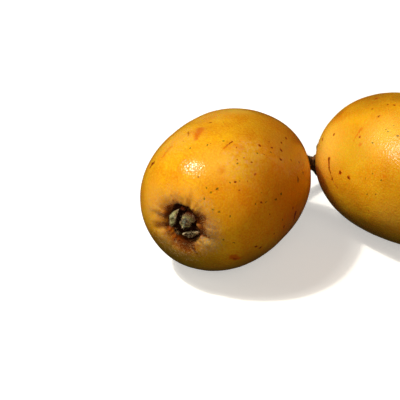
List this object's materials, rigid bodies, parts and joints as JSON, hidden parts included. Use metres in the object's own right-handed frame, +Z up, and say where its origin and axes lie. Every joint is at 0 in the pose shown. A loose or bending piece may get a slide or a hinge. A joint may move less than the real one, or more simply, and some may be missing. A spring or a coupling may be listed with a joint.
{
  "type": "loquat cluster",
  "caption": "Ripe yellow-orange loquats with puckered, fuzzy calyx eyes on one woolly forked stalk, cut from the tree and lying on their sides on a flat surface.",
  "frame": {"origin": "centre of the cluster's footprint, on the surface that it lies on", "axes": "+Z up, +X from the left fruit to the right fruit, +Y from the eyes towards the stalk"},
  "size_m": [0.088, 0.0784, 0.036],
  "materials": {
    "skin": "satin",
    "sepal_felt": "matte",
    "bark": "matte"
  },
  "bodies": {
    "root": {"fruit_left": "skin", "calyx_left": "sepal_felt", "fruit_right": "skin", "calyx_right": "sepal_felt", "stalk": "bark"}
  },
  "joints": []
}
